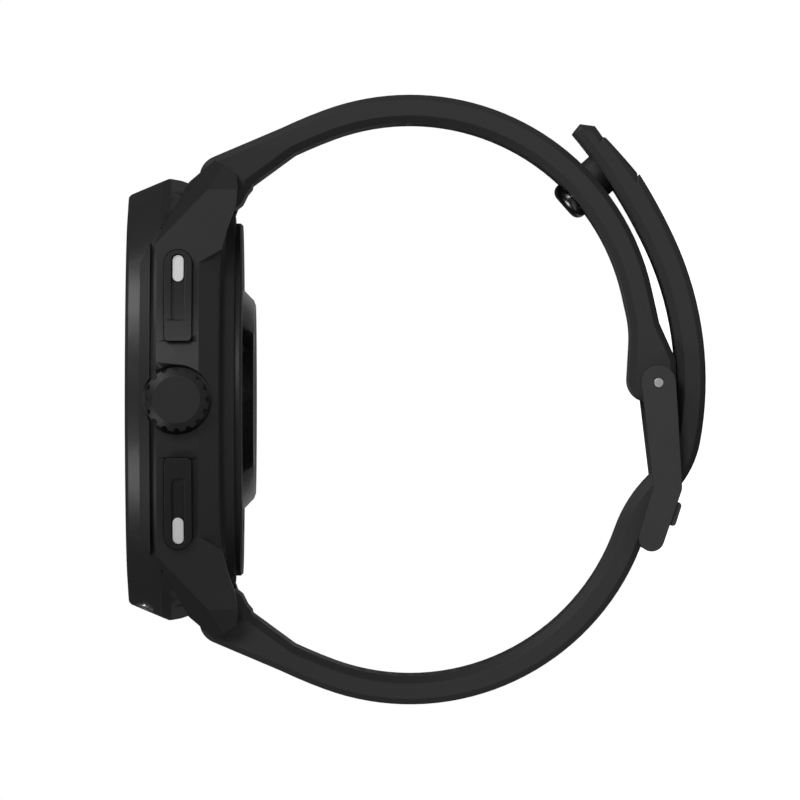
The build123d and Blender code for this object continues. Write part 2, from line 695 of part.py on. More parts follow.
def make_release(y):
    # sliding pin with the knob that a fingernail pulls
    pin = rod(y, BAR_Z, BAR_PIN_R, release_x, lug_in + BAR_PIN_DEPTH)
    arm = block(release_x, release_x + 1.0, y - 0.4, y + 0.4, BAR_Z - 2.1, BAR_Z)
    return pin + arm + block(release_x - 0.1, release_x + 1.1, y - 0.6, y + 0.6, BAR_Z - 2.5, BAR_Z - 2.0)


carrier_h = BATTERY[2] + 0.4
board_z = floor_z + CARRIER_T + carrier_h
switch_x = CAVITY_R - 6.1
release_x = 6.0
bar_bore = BAR_R - 0.25
bar_floor = -2.0
stud_root = stud_reach(TIP_R - STRAP_T / 2) + STUD_ROOT_T
CHIPS = [(-6, 6, 7, 7, 1.0), (6, 5, 5, 6, 0.8), (2, -8, 9, 5, 0.9), (-9, -6, 4, 5, 0.7), (11, -3, 3, 4, 0.6)]

parts["mid_case"] = make_mid_case()
parts["bezel"] = make_bezel()
parts["bezel_seal"] = disc(ring_groove_out - 0.05, BEZEL_Z - SEAL_DEPTH + 0.05, BEZEL_Z - 0.02, ring_groove_in + 0.05)
parts["antenna_ring"] = disc(ring_groove_out - 0.1, BEZEL_Z + 0.02, BEZEL_Z + ANTENNA_H - 0.1, ring_groove_in + 0.1)
parts["port_rim"] = port_plug(PORT_R, -PORT_DEPTH, PORT_PROUD) - port_plug(PORT_BORE_R, -PORT_DEPTH, 1)
parts["port_mesh"] = port_plug(PORT_BORE_R, -PORT_DEPTH, -PORT_DEPTH + 0.3)
parts["display_glass"] = make_glass()
parts["glass_gasket"] = disc(BEZEL_BORE_R - 0.05, glass_z - GASKET_T, glass_z, BEZEL_LIP_R + 0.1)
parts["display_panel"] = disc(BEZEL_LIP_R - 0.2, glass_z - PANEL_T, glass_z)

parts["back_cover"] = make_back_cover()
parts["back_gasket"] = disc(LEDGE_IN_R + 0.58, ledge_z - 0.38, ledge_z, LEDGE_IN_R + 0.22)
parts["sensor_window"] = make_window()
parts["sensor_board"] = make_sensor_board()
parts["back_screws"] = Compound(children=[make_screw(x, y) for x, y in screw_places()])
parts["charge_contacts"] = Compound(
    children=[Pos(x, y, cover_z + 0.1) * extrude(Circle(CONTACT_R), 1.2) for x, y in contact_places()]
)

parts["inner_carrier"] = make_carrier()
parts["battery"] = Pos(0, 0, floor_z + CARRIER_T) * extrude(RectangleRounded(*BATTERY[:2], 1.3), BATTERY[2])
parts["main_board"] = make_board()
parts["vibration_motor"] = Pos(MOTOR_X, 0, floor_z + CARRIER_T) * extrude(Circle(MOTOR_R), 2.7)
parts["side_board"] = block(switch_x - 0.8, switch_x, -13.0, 13.0, floor_z + CARRIER_T + 0.1, board_z - 0.1)
parts["crown_encoder"] = block(switch_x, crown_inner - CROWN_TRAVEL - 0.1, -1.8, 1.8, CROWN_Z - 1.1, CROWN_Z + 1.1)

parts["crown_knob"] = make_knob()
parts["crown_stem"] = make_stem()
parts["crown_bushing"] = rod(0, CROWN_Z, bushing_r, clip_x + 0.5, crown_floor, STEM_R + RUN_PLAY)
parts["crown_seal"] = rod(0, CROWN_Z, STEM_R + 0.01, crown_seal_x + 0.05, crown_seal_x + 0.65, STEM_R - 0.3)
parts["crown_clip"] = rod(0, CROWN_Z, bushing_r - 0.1, clip_x, clip_x + 0.4, STEM_R - 0.3)
parts["crown_washer"] = rod(0, CROWN_Z, washer_r, washer_x, washer_x + WASHER_T, STEM_R + RUN_PLAY)
parts["crown_spring"] = coil(0, CROWN_Z, STEM_R + 0.55, 0.14, crown_floor, washer_x, 3)

for s, name in ((1, "upper"), (-1, "lower")):
    y = s * BUTTON_Y
    stem = rod(y, BUTTON_Z, BUTTON_STEM_R, switch_x + 2.0, button_seat + 1.8)
    stem += rod(y, BUTTON_Z, spring_well_r - 0.05, button_seat - 0.4, button_seat)
    parts[name + "_button"] = make_button(s) - rod(y, BUTTON_Z, spring_well_r, 5, button_seat) - stem
    parts[name + "_button_inlay"] = inlay_solid(s)
    parts[name + "_button_stem"] = stem
    parts[name + "_button_seal"] = rod(y, BUTTON_Z, seal_r - 0.02, seal_x, seal_x + seal_t, BUTTON_STEM_R + RUN_PLAY)
    spring_end = button_seat - 0.4
    parts[name + "_button_spring"] = coil(y, BUTTON_Z, 1.12, 0.13, button_floor - spring_well, spring_end, 3)
    parts[name + "_switch"] = make_switch(y)

    y = s * BAR_Y
    parts[name + "_spring_bar"] = make_bar(y)
    parts[name + "_release_pin"] = make_release(y)
    parts[name + "_bar_spring"] = coil(y, BAR_Z, bar_bore - 0.18, 0.1, bar_floor, release_x, 7)

parts["short_strap"] = make_short_strap()
parts["long_strap"] = make_long_strap()
parts["strap_tip"] = make_tip()
inner_face = RING_R - STRAP_T / 2
outer_face = RING_R + STRAP_T / 2
head_top = inner_face - 0.15
tail_in = stud_reach(TIP_R - STRAP_T / 2)
head = stud_disc(STUD_HEAD_R, head_top - STUD_HEAD_T, head_top)
head = fillet(head.edges().sort_by(SortBy.DISTANCE)[0], STUD_HEAD_FILLET)
neck = stud_disc(STUD_NECK_R, head_top, tail_in) + stud_disc(STUD_ROOT_R, stud_root - STUD_ROOT_T, stud_root)
parts["stud"] = head + neck
collar = stud_disc(COLLAR_R, outer_face + COLLAR_GAP, tail_in + 0.4, STUD_ROOT_R)
collar += stud_disc(COLLAR_R, outer_face + COLLAR_GAP, tail_in - 0.15, STUD_NECK_R)
parts["stud_collar"] = collar - parts["strap_tip"]
pad = stud_disc(PAD_R, PAD_SEAT, PAD_SEAT + PAD_H)
parts["stud_pad"] = fillet(pad.edges().sort_by(SortBy.DISTANCE)[-1], 0.25)
parts["buckle_frame"] = make_buckle()
pin_half = STRAP_W / 2 + ARM_PLAY + ARM_T
parts["buckle_pin"] = rod(*pin_place(), PIN_R, -pin_half - 0.1, pin_half + 0.1)

os.makedirs("parts", exist_ok=True)
for name, part in parts.items():
    export_step(part, f"parts/{name}.step")
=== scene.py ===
import json
from math import hypot, radians

import bmesh
import bpy
from mathutils import Matrix, Vector


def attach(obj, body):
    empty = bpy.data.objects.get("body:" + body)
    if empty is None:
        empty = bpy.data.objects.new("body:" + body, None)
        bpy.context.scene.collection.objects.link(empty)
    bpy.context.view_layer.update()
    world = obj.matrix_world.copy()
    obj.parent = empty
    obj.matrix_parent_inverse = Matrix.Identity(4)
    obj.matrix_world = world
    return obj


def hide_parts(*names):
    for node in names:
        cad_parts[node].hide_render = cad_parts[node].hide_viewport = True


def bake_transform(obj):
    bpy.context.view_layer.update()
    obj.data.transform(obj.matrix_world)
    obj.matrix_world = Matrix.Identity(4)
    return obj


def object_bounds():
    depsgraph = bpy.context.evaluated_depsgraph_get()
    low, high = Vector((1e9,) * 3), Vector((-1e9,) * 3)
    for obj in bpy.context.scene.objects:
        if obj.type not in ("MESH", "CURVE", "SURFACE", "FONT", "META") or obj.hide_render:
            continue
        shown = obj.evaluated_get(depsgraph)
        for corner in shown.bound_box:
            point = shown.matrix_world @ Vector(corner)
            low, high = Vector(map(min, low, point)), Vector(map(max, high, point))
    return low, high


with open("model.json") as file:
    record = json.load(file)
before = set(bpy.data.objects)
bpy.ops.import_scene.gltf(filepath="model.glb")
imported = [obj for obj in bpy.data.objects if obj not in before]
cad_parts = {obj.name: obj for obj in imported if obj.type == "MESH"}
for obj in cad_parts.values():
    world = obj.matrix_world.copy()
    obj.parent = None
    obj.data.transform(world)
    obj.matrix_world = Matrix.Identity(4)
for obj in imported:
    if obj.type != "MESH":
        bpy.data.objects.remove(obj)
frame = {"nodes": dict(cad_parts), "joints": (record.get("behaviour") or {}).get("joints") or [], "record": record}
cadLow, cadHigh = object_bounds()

mm = 0.001
cad = frame["nodes"]
print("frame loaded:", len(cad), "nodes")


# shader maths: a Value wraps a socket and turns Python expressions into Math nodes
class Value:
    def __init__(self, tree, socket):
        self.tree, self.socket = tree, socket

    def maths(self, operation, *others):
        step = self.tree.nodes.new("ShaderNodeMath")
        step.operation = operation
        for place, item in enumerate((self, *others)):
            if isinstance(item, Value):
                self.tree.links.new(item.socket, step.inputs[place])
            else:
                step.inputs[place].default_value = item
        return Value(self.tree, step.outputs[0])

    def __add__(self, other):
        return self.maths("ADD", other)

    def __sub__(self, other):
        return self.maths("SUBTRACT", other)

    def __rsub__(self, other):
        return self.maths("MULTIPLY", -1.0).maths("ADD", other)

    def __mul__(self, other):
        return self.maths("MULTIPLY", other)

    __radd__ = __add__

    def clamp(self):
        return self.maths("MAXIMUM", 0.0).maths("MINIMUM", 1.0)


class Finish:
    def __init__(self, name):
        self.material = bpy.data.materials.new(name)
        self.material.use_nodes = True
        self.tree = self.material.node_tree
        self.tree.nodes.clear()
        self.place = self.node("ShaderNodeTexCoord").outputs["Object"]

    # one method for every node that isn't maths: its settings first, then its sockets
    def node(self, kind, settings=None, **sockets):
        made = self.tree.nodes.new(kind)
        for key, setting in (settings or {}).items():
            if key == "stops":
                ramp = made.color_ramp
                while len(ramp.elements) < len(setting):
                    ramp.elements.new(0.5)
                for element, (position, grey) in zip(ramp.elements, setting):
                    element.position, element.color = position, (grey, grey, grey, 1)
            else:
                setattr(made, key, setting)
        for key, item in sockets.items():
            socket = made.inputs[key.replace("_", " ")]
            if isinstance(item, Value):
                item = item.socket
            if isinstance(item, bpy.types.NodeSocket):
                self.tree.links.new(item, socket)
            else:
                socket.default_value = item
        return made

    def noise(self, size, detail=3.0, rough=0.5, stretch=(1, 1, 1)):
        stretched = self.node("ShaderNodeMapping", Vector=self.place, Scale=stretch).outputs[0]
        made = self.node("ShaderNodeTexNoise", Vector=stretched, Scale=1 / size, Detail=detail,
                         Roughness=rough)
        return Value(self.tree, made.outputs["Fac"])

    # cells of a given size: 0 in the middle of each, 1 at its border
    def cells(self, size):
        made = self.node("ShaderNodeTexVoronoi", Vector=self.place, Scale=1 / size)
        return Value(self.tree, made.outputs["Distance"])

    def spread(self, value, low, high):
        made = self.node("ShaderNodeMapRange", {"interpolation_type": "SMOOTHSTEP"}, Value=value)
        made.inputs["From Min"].default_value, made.inputs["From Max"].default_value = low, high
        return Value(self.tree, made.outputs[0])

    def blend(self, mask, first, second):
        made = self.node("ShaderNodeMix", {"data_type": "RGBA"})
        self.tree.links.new(mask.socket, made.inputs[0])
        made.inputs[6].default_value, made.inputs[7].default_value = (*first, 1), (*second, 1)
        return made.outputs[2]

    # a plain colour laid over a varying one, as far as the mask says
    def cover(self, mask, under, over):
        made = self.node("ShaderNodeMix", {"data_type": "RGBA"})
        self.tree.links.new(mask.socket, made.inputs[0])
        self.tree.links.new(under, made.inputs[6])
        made.inputs[7].default_value = (*over, 1)
        return made.outputs[2]

    # where an edge is convex or tight, from how far a rounded normal leaves the true one
    def edges(self, radius, gain):
        rounded = self.node("ShaderNodeBevel", {"samples": 4}, Radius=radius).outputs[0]
        true = self.node("ShaderNodeNewGeometry").outputs["Normal"]
        dot = self.node("ShaderNodeVectorMath", {"operation": "DOT_PRODUCT"})
        self.tree.links.new(rounded, dot.inputs[0])
        self.tree.links.new(true, dot.inputs[1])
        return ((1.0 - Value(self.tree, dot.outputs["Value"])) * gain).clamp()

    def done(self, height=None, depth=0.0, edgeRadius=0.0, **sockets):
        normal = None
        if edgeRadius:
            normal = self.node("ShaderNodeBevel", {"samples": 4}, Radius=edgeRadius).outputs[0]
        if height is not None:
            bump = self.node("ShaderNodeBump", Height=height, Distance=depth, Strength=1.0)
            if normal is not None:
                self.tree.links.new(normal, bump.inputs["Normal"])
            normal = bump.outputs[0]
        shader = self.node("ShaderNodeBsdfPrincipled", None, **sockets)
        if normal is not None:
            self.tree.links.new(normal, shader.inputs["Normal"])
        end = self.node("ShaderNodeOutputMaterial")
        self.tree.links.new(shader.outputs[0], end.inputs[0])
        return self.material


def grey(level, tint=0.0):
    return (level, level, level * (1 + tint))


# worn: the lighter grey painted on convex edges, partly wear and partly a painted edge highlight
polymer = {
    "dark": 0.021, "light": 0.027, "wornAndHighlit": 0.05, "rough": 0.46,
    "grain": 0.13 * mm, "depth": 0.012 * mm, "edge": 0.14 * mm,
}


# moulded case polymer with a fine spark-eroded grain, its edges painted lighter: partly polished wear, partly a
# painted edge highlight
def casePolymer(name, values=polymer):
    f = Finish(name)
    drift = f.noise(9 * mm, 4)
    pits = f.cells(values["grain"])
    fine = f.noise(values["grain"] * 0.6, 2)
    # convex edges painted a lighter grey in patches: partly wear, partly a painted edge highlight
    wearAndEdgeHighlight = f.edges(values["edge"] * 1.6, 1.6) * f.spread(f.noise(1.3 * mm, 3), 0.3, 0.7)
    dark, light = grey(values["dark"], 0.03), grey(values["light"], 0.03)
    base = f.blend((drift * 0.8 + fine * 0.35).clamp(), dark, light)
    wornAndHighlit = f.cover(wearAndEdgeHighlight * 0.55, base, grey(values["wornAndHighlit"]))
    rough = (values["rough"] + (drift - 0.5) * 0.12 - wearAndEdgeHighlight * 0.1).clamp()
    return f.done(pits * 0.6 + fine * 0.4, values["depth"], values["edge"],
                  Base_Color=wornAndHighlit, Roughness=rough, Specular_IOR_Level=0.42)


# worn: the lighter grey painted on convex edges, partly rub marks and partly a painted edge highlight
coated = {
    "dark": 0.034, "light": 0.042, "wornAndHighlit": 0.12, "rough": 0.36,
    "grain": 0.05 * mm, "depth": 0.003 * mm, "edge": 0.12 * mm,
}


# black coated metal: bead blasted under a thin satin coat, its edges painted lighter: partly rub marks, partly a
# painted edge highlight
def coatedMetal(name, values=coated):
    f = Finish(name)
    drift = f.noise(6 * mm, 4)
    blast = f.noise(values["grain"], 2)
    # convex edges painted a lighter grey in patches: partly rub marks, partly a painted edge highlight
    wearAndEdgeHighlight = f.edges(values["edge"] * 1.5, 1.8) * f.spread(f.noise(0.9 * mm, 4), 0.42, 0.72)
    dark, light = grey(values["dark"], 0.02), grey(values["light"], 0.02)
    base = f.blend((drift + (blast - 0.5) * 0.5).clamp(), dark, light)
    wornAndHighlit = f.cover(wearAndEdgeHighlight * 0.5, base, grey(values["wornAndHighlit"]))
    rough = (values["rough"] + (drift - 0.5) * 0.1 + (blast - 0.5) * 0.08).clamp()
    return f.done(blast, values["depth"], values["edge"],
                  Base_Color=wornAndHighlit, Roughness=rough, Metallic=0.25)


silicone = {
    "dark": 0.025, "light": 0.032, "dust": 0.075, "rough": 0.58,
    "grain": 0.09 * mm, "depth": 0.006 * mm, "edge": 0.1 * mm,
}


# silky silicone rubber: fine satin texture, soft mottling and a trace of lint
def siliconeRubber(name, values=silicone):
    f = Finish(name)
    drift = f.noise(11 * mm, 5)
    satin = f.noise(values["grain"], 3, 0.6)
    lint = f.spread(f.noise(0.5 * mm, 5, 0.7), 0.63, 0.8)
    dark, light = grey(values["dark"], 0.02), grey(values["light"], 0.02)
    base = f.blend((drift * 0.8 + satin * 0.25).clamp(), dark, light)
    dusty = f.cover(lint * 0.3, base, grey(values["dust"], -0.04))
    rough = (values["rough"] + (drift - 0.5) * 0.14 + lint * 0.12).clamp()
    return f.done(satin, values["depth"], values["edge"], Base_Color=dusty, Roughness=rough,
                  Specular_IOR_Level=0.38, Sheen_Weight=0.06, Sheen_Roughness=0.45)


# polished or brushed metal of one colour, with hairlines along X and a slight stain
def bareMetal(name, colour, rough, hairline=0.04 * mm, metallic=1.0):
    f = Finish(name)
    drift = f.noise(3 * mm, 4)
    hairs = f.noise(hairline, 2, 0.5, (0.08, 1, 1))
    darker = tuple(c * 0.82 for c in colour)
    base = f.blend((drift * 0.7 + hairs * 0.3).clamp(), darker, colour)
    return f.done(hairs, 0.0015 * mm, 0.08 * mm, Base_Color=base, Metallic=metallic,
                  Roughness=(rough + (hairs - 0.5) * 0.12 + (drift - 0.5) * 0.08).clamp())


# painted filling of the button slots: slightly uneven, soft
def inlayPaint(name):
    f = Finish(name)
    drift = f.noise(0.8 * mm, 4)
    speck = f.noise(0.12 * mm, 2)
    base = f.blend((drift * 0.7 + speck * 0.3).clamp(), grey(0.86), grey(0.93))
    rough = (0.5 + (drift - 0.5) * 0.2).clamp()
    return f.done(speck, 0.006 * mm, 0.1 * mm, Base_Color=base, Roughness=rough)


# moulded inner plastics, rubbers and wraps: a colour with its mottling and grain
def plainPlastic(name, colour, rough, grain=0.15 * mm, depth=0.008 * mm):
    f = Finish(name)
    drift = f.noise(4 * mm, 4)
    fine = f.noise(grain, 3)
    darker = tuple(c * 0.72 for c in colour)
    base = f.blend((drift * 0.75 + fine * 0.3).clamp(), darker, colour)
    return f.done(fine, depth, 0.08 * mm, Base_Color=base,
                  Roughness=(rough + (drift - 0.5) * 0.16 + (fine - 0.5) * 0.08).clamp())


# solder mask with copper tracks showing through as paler lines
def circuitBoard(name):
    f = Finish(name)
    drift = f.noise(5 * mm, 3)
    tracks = f.node("ShaderNodeTexWave", {"wave_type": "BANDS", "bands_direction": "DIAGONAL"},
                    Vector=f.place, Scale=420.0, Distortion=6.0, Detail=2.0)
    lines = f.spread(Value(f.tree, tracks.outputs["Fac"]), 0.72, 0.8)
    base = f.blend((lines * 0.8 + drift * 0.2).clamp(), (0.006, 0.035, 0.018), (0.02, 0.12, 0.05))
    return f.done(lines, 0.02 * mm, 0.0, Base_Color=base, Roughness=(0.32 + drift * 0.12).clamp())


# mineral glass: clear, with faint fingerprints
def clearGlass(name):
    f = Finish(name)
    smear = f.spread(f.noise(5 * mm, 5, 0.6), 0.45, 0.8) * f.noise(0.5 * mm, 2, 0.5, (1, 3, 1))
    return f.done(None, Base_Color=(0.98, 0.99, 1, 1), Roughness=(0.015 + smear * 0.1).clamp(),
                  Transmission_Weight=1.0, IOR=1.5)


# unlit display: black, with a just visible grid of cells
def unlitDisplay(name):
    f = Finish(name)
    grid = f.node("ShaderNodeTexBrick", {"offset": 0.0}, Vector=f.place, Scale=1 / (0.25 * mm),
                  Mortar_Size=0.04)
    lines = Value(f.tree, grid.outputs["Fac"])
    drift = f.noise(14 * mm, 3)
    base = f.blend((lines * 0.5 + drift * 0.5).clamp(), (0.004, 0.0042, 0.0055), (0.009, 0.0095, 0.012))
    return f.done(None, Base_Color=base, Roughness=(0.16 + drift * 0.1).clamp(), Specular_IOR_Level=0.6)


# smoked lens of the rear sensor, clear enough to show its windows as darker and lighter zones
def smokedLens(name):
    f = Finish(name)
    drift = f.noise(6 * mm, 4)
    rings = f.node("ShaderNodeTexWave", {"wave_type": "RINGS", "rings_direction": "Z"},
                   Vector=f.place, Scale=62.0, Distortion=0.0)
    zone = f.spread(Value(f.tree, rings.outputs["Fac"]), 0.86, 0.9)
    base = f.blend((zone * 0.7 + drift * 0.3).clamp(), (0.006, 0.006, 0.007), (0.016, 0.014, 0.015))
    return f.done(None, Base_Color=base, Roughness=(0.12 + drift * 0.08 + zone * 0.1).clamp(),
                  Coat_Weight=0.6, Coat_Roughness=0.06)


finishes = {
    "case_polymer": casePolymer("casePolymer"),
    "bezel_metal": coatedMetal("bezelCoat"),
    "cover_polymer": casePolymer("coverPolymer", {**polymer, "rough": 0.4, "light": 0.032}),
    "display_glass": clearGlass("displayGlass"),
    "display_panel": unlitDisplay("unlitDisplay"),
    "sensor_window": smokedLens("smokedLens"),
    "seal_rubber": plainPlastic("sealRubber", (0.02, 0.02, 0.02), 0.7),
    "strap_silicone": siliconeRubber("strapSilicone"),
    "stud_metal": bareMetal("darkChrome", (0.2, 0.2, 0.21), 0.24),
    "buckle_metal": coatedMetal("buckleCoat", {**coated, "dark": 0.038, "light": 0.046, "rough": 0.44}),
    "control_metal": coatedMetal("controlCoat", {**coated, "dark": 0.014, "light": 0.018, "rough": 0.46}),
    "button_inlay": inlayPaint("inlayPaint"),
    "bright_steel": bareMetal("brightSteel", (0.8, 0.8, 0.81), 0.34),
    "bushing_brass": bareMetal("goldPlate", (0.83, 0.62, 0.28), 0.24),
    "board_green": circuitBoard("circuitBoard"),
    "inner_plastic": plainPlastic("innerPlastic", (0.06, 0.06, 0.065), 0.5),
    "battery_wrap": plainPlastic("batteryFoil", (0.42, 0.43, 0.45), 0.35),
    "motor_can": bareMetal("motorCan", (0.6, 0.6, 0.61), 0.35),
}
print("finishes made:", len(finishes))

slots = {row["node"]: row["material_slot"] for row in frame["record"]["subparts"]}
homes = {name: body for body, members in frame["record"]["behaviour"]["bodies"].items() for name in members}
for name, piece in cad.items():
    piece.data.materials.clear()
    piece.data.materials.append(finishes[slots[name]])


mending = {"weld": 0.0005 * mm, "flat": radians(0.4), "sharp": radians(14), "weight": 80}


# a CAD node's surface as one clean shell: loose triangles merged, flat stretches made whole
def cleanShell(*names):
    shell = bmesh.new()
    for name in names:
        shell.from_mesh(cad[name].data)
    bmesh.ops.remove_doubles(shell, verts=shell.verts, dist=mending["weld"])
    bmesh.ops.dissolve_limit(shell, angle_limit=mending["flat"], verts=shell.verts, edges=shell.edges)
    return shell


# the shell as a shaded piece in place of its CAD nodes, tied to its body when it is given one
def placed(shell, pieceName, body, names):
    mesh = bpy.data.meshes.new(pieceName)
    shell.to_mesh(mesh)
    shell.free()
    mesh.shade_smooth()
    mesh.set_sharp_from_angle(angle=mending["sharp"])
    mesh.materials.append(finishes[slots[names[0]]])
    piece = bpy.data.objects.new(pieceName, mesh)
    bpy.context.scene.collection.objects.link(piece)
    weighted = piece.modifiers.new("weighted", "WEIGHTED_NORMAL")
    weighted.keep_sharp, weighted.weight = True, mending["weight"]
    if body:
        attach(piece, body)
    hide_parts(*names)
    return piece


hardPieces = {
    "caseMiddle": "mid_case", "bezelRing": "bezel", "backCover": "back_cover",
    "sensorLens": "sensor_window", "crownKnob": "crown_knob", "upperButtonCap": "upper_button",
    "lowerButtonCap": "lower_button", "upperInlay": "upper_button_inlay",
    "lowerInlay": "lower_button_inlay", "buckleArms": "buckle_frame", "bucklePin": "buckle_pin",
    "portRim": "port_rim", "studCollar": "stud_collar", "studPad": "stud_pad", "stud": "stud",
    "displayGlass": "display_glass",
}
for pieceName, node in hardPieces.items():
    placed(cleanShell(node), pieceName, homes[node], [node])
print("hard pieces smoothed:", len(hardPieces))

# the ring's middle line has radius ringR about a centre at ringY on each side
strapSizes = {
    "halfWidth": 11 * mm, "outerChamfer": 0.62 * mm, "innerChamfer": 0.8 * mm,
    "ringR": 25.7 * mm, "ringY": 6.3 * mm, "ringZ": -17.05 * mm, "thick": 3.1 * mm,
    "barY": 24.4 * mm, "barZ": 3.63 * mm, "barClear": 1.6 * mm,
    "pinY": 1.854 * mm, "pinZ": -44.376 * mm, "pinClear": 0.8 * mm,
}


# whether a point is in the mouth of a spring bar's or the buckle pin's bore, whose edges stay sharp
def atBore(point, sizes=strapSizes):
    toBar = hypot(abs(point.y) - sizes["barY"], point.z - sizes["barZ"])
    toPin = hypot(point.y - sizes["pinY"], point.z - sizes["pinZ"])
    return toBar < sizes["barClear"] or toPin < sizes["pinClear"]


# the strap's long edges, between a flat side and its inner or outer face
def rimEdges(shell, wantOuter, sizes=strapSizes):
    centre = Vector((0, 0, sizes["ringZ"]))
    found = []
    for edge in shell.edges:
        if len(edge.link_faces) != 2 or abs(edge.verts[0].co.x) < 0.9 * sizes["halfWidth"]:
            continue
        side, face = sorted(edge.link_faces, key=lambda item: -abs(item.normal.x))
        middle = (edge.verts[0].co + edge.verts[1].co) / 2
        if abs(side.normal.x) < 0.98 or abs(face.normal.x) > 0.2 or atBore(middle, sizes):
            continue
        away = Vector((0, middle.y, middle.z)) - centre
        if (away.dot(face.normal) > 0) == wantOuter:
            found.append(edge)
    return found


def chamferRims(shell, sizes=strapSizes):
    for wantOuter, key in ((True, "outerChamfer"), (False, "innerChamfer")):
        rims = rimEdges(shell, wantOuter, sizes)
        bmesh.ops.bevel(shell, geom=rims, offset=sizes[key], offset_type="OFFSET", segments=1,
                        profile=0.5, affect="EDGES", clamp_overlap=False)
    return shell


placed(chamferRims(cleanShell("short_strap")), "shortStrap", "case", ["short_strap"])
flex = next(joint for joint in frame["joints"] if joint["name"] == "strap_tail_peel")
flexAt = Vector(flex["pos_m"])
tail = {"y": 2.1 * mm, "z": -12.2 * mm, "bendLength": 5.0 * mm, "cutDepth": 0.02 * mm}
bendWay = Vector((0, tail["z"] - flexAt.z, flexAt.y - tail["y"])).normalized()  # along the tail, to its tip


# the long strap and its end are one strip of rubber: the two faces where they meet are taken out
def joinedStrap():
    shell = cleanShell("long_strap", "strap_tip")
    cut = [face for face in shell.faces if abs(face.normal.dot(bendWay)) > 0.999
           and all(abs((vert.co - flexAt).dot(bendWay)) < tail["cutDepth"] for vert in face.verts)]
    print("cut faces closed up:", len(cut))
    bmesh.ops.delete(shell, geom=cut, context="FACES_ONLY")
    bmesh.ops.dissolve_limit(shell, angle_limit=mending["flat"], verts=shell.verts, edges=shell.edges)
    return chamferRims(shell)


longStrap = placed(joinedStrap(), "longStrap", None, ["long_strap", "strap_tip"])
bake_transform(longStrap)
print("straps made")

# the inner springs as shaded pieces, each listed with the part at its free end
springs = {
    "upper_button_spring": "upper_button", "lower_button_spring": "lower_button",
    "crown_spring": "crown_slider", "upper_bar_spring": "upper_release",
    "lower_bar_spring": "lower_release",
}
for node, body in springs.items():
    coil = placed(cleanShell(node), node.replace("_", " ").title().replace(" ", ""), None, [node])
    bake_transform(coil)
print("springs made:", len(springs))

# half sizes of a rib; each strap's row by its first rib and step, in degrees round the ring
ribs = {
    "length": 6.6 * mm, "width": 0.75 * mm, "height": 0.16 * mm, "unevenness": 0.04, "seed": 7,
    "short": {"side": 1, "count": 4, "first": 1.6, "step": -11.15},
    "long": {"side": -1, "count": 12, "first": 168.0, "step": 5.57},
}


# low ribs across the wrist side of a strap, one on each point of a line bent round the ring
def ribTree():
    tree = bpy.data.node_groups.new("strapRibs", "GeometryNodeTree")
    kinds = {"Count": "Int", "First": "Float", "Step": "Float", "Centre Y": "Float", "Radius": "Float",
             "Size": "Vector", "Unevenness": "Float", "Seed": "Int", "Material": "Material"}
    for name, kind in kinds.items():
        tree.interface.new_socket(name=name, in_out="INPUT", socket_type="NodeSocket" + kind)
    tree.interface.new_socket(name="Geometry", in_out="OUTPUT", socket_type="NodeSocketGeometry")
    given = tree.nodes.new("NodeGroupInput").outputs

    def node(kind, **sockets):
        made = tree.nodes.new(kind)
        for key, item in sockets.items():
            if isinstance(item, Value):
                item = item.socket
            if isinstance(item, bpy.types.NodeSocket):
                tree.links.new(item, made.inputs[key.replace("_", " ")])
            else:
                made.inputs[key.replace("_", " ")].default_value = item
        return made

    line = node("GeometryNodeMeshLine", Count=given["Count"])
    place = Value(tree, node("GeometryNodeInputIndex").outputs[0])
    angle = place * Value(tree, given["Step"]) + Value(tree, given["First"])
    reach = Value(tree, given["Radius"])
    across = angle.maths("COSINE") * reach + Value(tree, given["Centre Y"])
    up = angle.maths("SINE") * reach + strapSizes["ringZ"]
    spot = node("ShaderNodeCombineXYZ", Y=across, Z=up).outputs[0]
    bent = node("GeometryNodeSetPosition", Geometry=line.outputs[0], Position=spot)
    bead = node("GeometryNodeMeshUVSphere", Segments=32, Rings=14, Radius=1.0)
    shaped = node("GeometryNodeTransform", Geometry=bead.outputs["Mesh"], Scale=given["Size"])
    turn = node("ShaderNodeCombineXYZ", X=angle).outputs[0]
    uneven = node("FunctionNodeRandomValue", Seed=given["Seed"])
    swing = Value(tree, uneven.outputs["Value"]) - 0.5
    grown = swing * Value(tree, given["Unevenness"]) + 1.0
    size = node("ShaderNodeCombineXYZ", X=grown, Y=grown, Z=1.0).outputs[0]
    beads = node("GeometryNodeInstanceOnPoints", Points=bent.outputs[0], Instance=shaped.outputs[0],
                 Rotation=turn, Scale=size)
    solid = node("GeometryNodeRealizeInstances", Geometry=beads.outputs[0])
    painted = node("GeometryNodeSetMaterial", Geometry=solid.outputs[0], Material=given["Material"])
    end = tree.nodes.new("NodeGroupOutput")
    tree.links.new(painted.outputs[0], end.inputs[0])
    return tree


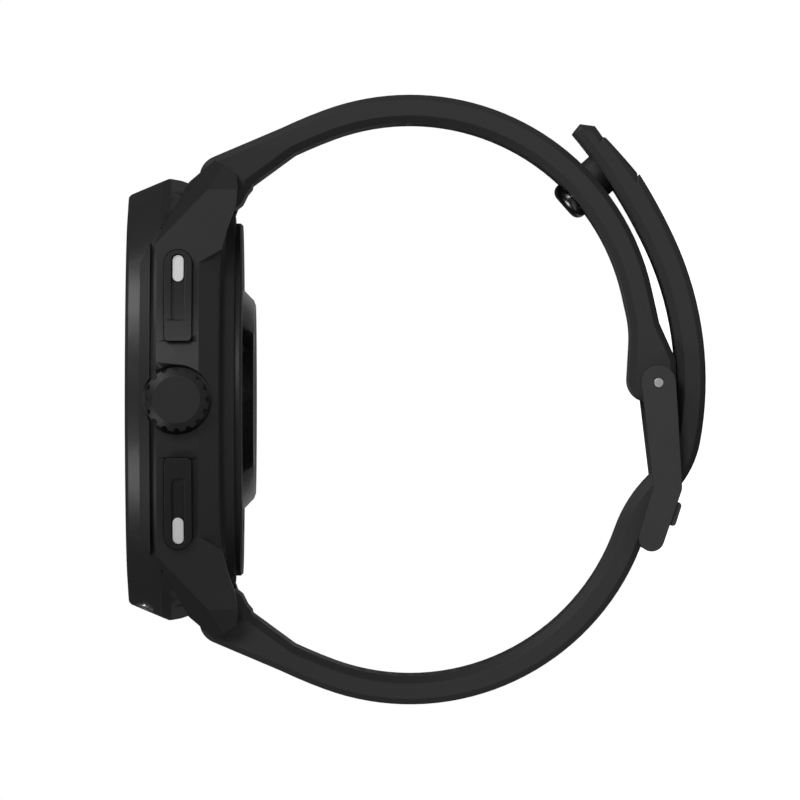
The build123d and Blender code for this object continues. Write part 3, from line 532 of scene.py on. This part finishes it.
ribGroup = ribTree()
ribInputs = [item for item in ribGroup.interface.items_tree if item.in_out == "INPUT"]
for name in ("short", "long"):
    row = ribs[name]
    holder = bpy.data.objects.new(name + "StrapRibs", bpy.data.meshes.new("empty"))
    bpy.context.scene.collection.objects.link(holder)
    growing = holder.modifiers.new("ribs", "NODES")
    growing.node_group = ribGroup
    choice = {
        "Count": row["count"], "First": radians(row["first"]), "Step": radians(row["step"]),
        "Centre Y": row["side"] * strapSizes["ringY"],
        "Radius": strapSizes["ringR"] - strapSizes["thick"] / 2,
        "Size": (ribs["length"], ribs["height"], ribs["width"]),
        "Unevenness": ribs["unevenness"], "Seed": ribs["seed"], "Material": finishes["strap_silicone"],
    }
    for item in ribInputs:
        growing[item.identifier] = choice[item.name]
    ready = holder.evaluated_get(bpy.context.evaluated_depsgraph_get())
    mesh = bpy.data.meshes.new_from_object(ready)
    holder.modifiers.remove(growing)
    holder.data = mesh
    mesh.shade_smooth()
    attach(holder, "case")
    print(holder.name, len(mesh.polygons), "faces")

cameraSizes = {"distance": 1.6, "y": -0.05 * mm, "z": -15.95 * mm, "width": 88.6 * mm, "sensor": 36.0}
camera = bpy.data.objects.new("camera", bpy.data.cameras.new("camera"))
camera.data.sensor_width = cameraSizes["sensor"]
camera.data.lens = cameraSizes["sensor"] * cameraSizes["distance"] / cameraSizes["width"]
camera.data.clip_start, camera.data.clip_end = 0.05, 10
# looks along -X with +Y up, so the display faces left
camera.matrix_world = Matrix(((0, 0, 1, cameraSizes["distance"]), (0, 1, 0, cameraSizes["y"]),
                              (-1, 0, 0, cameraSizes["z"]), (0, 0, 0, 1)))
bpy.context.scene.collection.objects.link(camera)
bpy.context.scene.camera = camera

floorSizes = {"half": 0.45, "gap": 0.05 * mm, "glow": 1.1}
floorMesh = bpy.data.meshes.new("floor")
floorCorners = [(x * floorSizes["half"], y * floorSizes["half"], cadLow.z - floorSizes["gap"])
                for x, y in ((-1, -1), (1, -1), (1, 1), (-1, 1))]
floorMesh.from_pydata(floorCorners, [], [(0, 1, 2, 3)])
floor = bpy.data.objects.new("floor", floorMesh)
bpy.context.scene.collection.objects.link(floor)
f = Finish("paleFloor")
tone = f.blend(f.noise(0.3, 3), grey(0.66), grey(0.7))
seen = Value(f.tree, f.node("ShaderNodeLightPath").outputs["Is Camera Ray"])
glow = f.blend(seen, grey(0), grey(1))
floorMesh.materials.append(f.done(None, Base_Color=tone, Roughness=0.9, Emission_Color=glow,
                                  Emission_Strength=floorSizes["glow"]))

lamps = {
    "upperKey": {"at": (0.42, 0.86, 0.72), "size": 0.5, "watts": 4.2},
    "lowerKey": {"at": (0.6, -0.7, 0.76), "size": 0.5, "watts": 3.4},
    "front": {"at": (1.15, 0.5, 0.3), "size": 0.4, "watts": 4.6},
}
aim = Vector((0, 0, -0.015))
for name, lamp in lamps.items():
    light = bpy.data.lights.new(name, "AREA")
    light.shape, light.size, light.energy = "SQUARE", lamp["size"], lamp["watts"]
    holder = bpy.data.objects.new(name, light)
    holder.location = lamp["at"]
    holder.rotation_euler = (aim - Vector(lamp["at"])).to_track_quat("-Z", "Y").to_euler()
    bpy.context.scene.collection.objects.link(holder)

# white behind the watch, but only a dim fill on it
backdrop = {"dim": 0.045, "white": 1.0}
world = bpy.data.worlds.new("studio")
bpy.context.scene.world = world
world.use_nodes = True
tree = world.node_tree
tree.nodes.clear()
mix = tree.nodes.new("ShaderNodeMixShader")
tree.links.new(tree.nodes.new("ShaderNodeLightPath").outputs["Is Camera Ray"], mix.inputs[0])
for place, key in ((1, "dim"), (2, "white")):
    shade = tree.nodes.new("ShaderNodeBackground")
    shade.inputs[0].default_value = (1, 1, 1, 1)
    shade.inputs[1].default_value = backdrop[key]
    tree.links.new(shade.outputs[0], mix.inputs[place])
tree.links.new(mix.outputs[0], tree.nodes.new("ShaderNodeOutputWorld").inputs[0])
bpy.context.scene.view_settings.view_transform = "Standard"
print("camera and light set")
